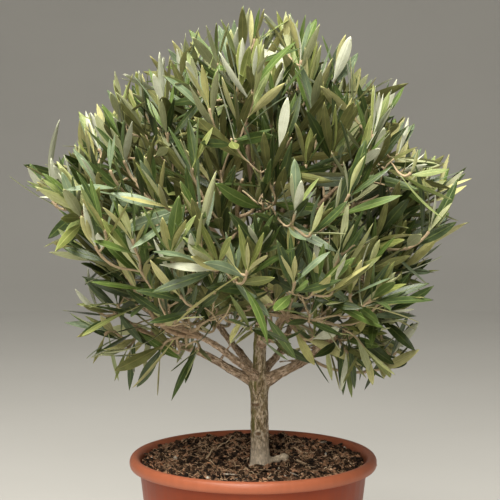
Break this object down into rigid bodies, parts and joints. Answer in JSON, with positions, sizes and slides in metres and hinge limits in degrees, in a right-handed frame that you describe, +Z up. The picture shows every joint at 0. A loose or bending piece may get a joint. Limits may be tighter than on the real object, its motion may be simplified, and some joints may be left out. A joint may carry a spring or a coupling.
{
  "type": "potted olive tree",
  "caption": "Small standard olive tree with a short bare trunk and a full round crown, in a round tapered plastic pot of compost with a rolled rim.",
  "frame": {"origin": "centre of the pot's flat underside", "axes": "+Z up, the longest extent; the front is at -Y, and seen from there +X is to the right"},
  "size_m": [0.4242, 0.432, 0.6276],
  "materials": {
    "pot": "satin",
    "soil": "matte",
    "bark": "matte",
    "foliage": "satin"
  },
  "bodies": {
    "root": {"pot": "pot", "soil": "soil", "trunk": "bark", "bough_right": "bark", "bough_back_right": "bark", "bough_back_left": "bark", "bough_left": "bark", "bough_front_left": "bark", "bough_front_right": "bark", "bough_upper_front": "bark", "bough_upper_right": "bark", "bough_upper_back_right": "bark", "bough_upper_back_left": "bark", "bough_upper_left": "bark", "bough_top": "bark", "foliage_right": "foliage", "foliage_back_right": "foliage", "foliage_back_left": "foliage", "foliage_left": "foliage", "foliage_front_left": "foliage", "foliage_front_right": "foliage", "foliage_upper_front": "foliage", "foliage_upper_right": "foliage", "foliage_upper_back_right": "foliage", "foliage_upper_back_left": "foliage", "foliage_upper_left": "foliage", "foliage_top": "foliage"}
  },
  "joints": []
}
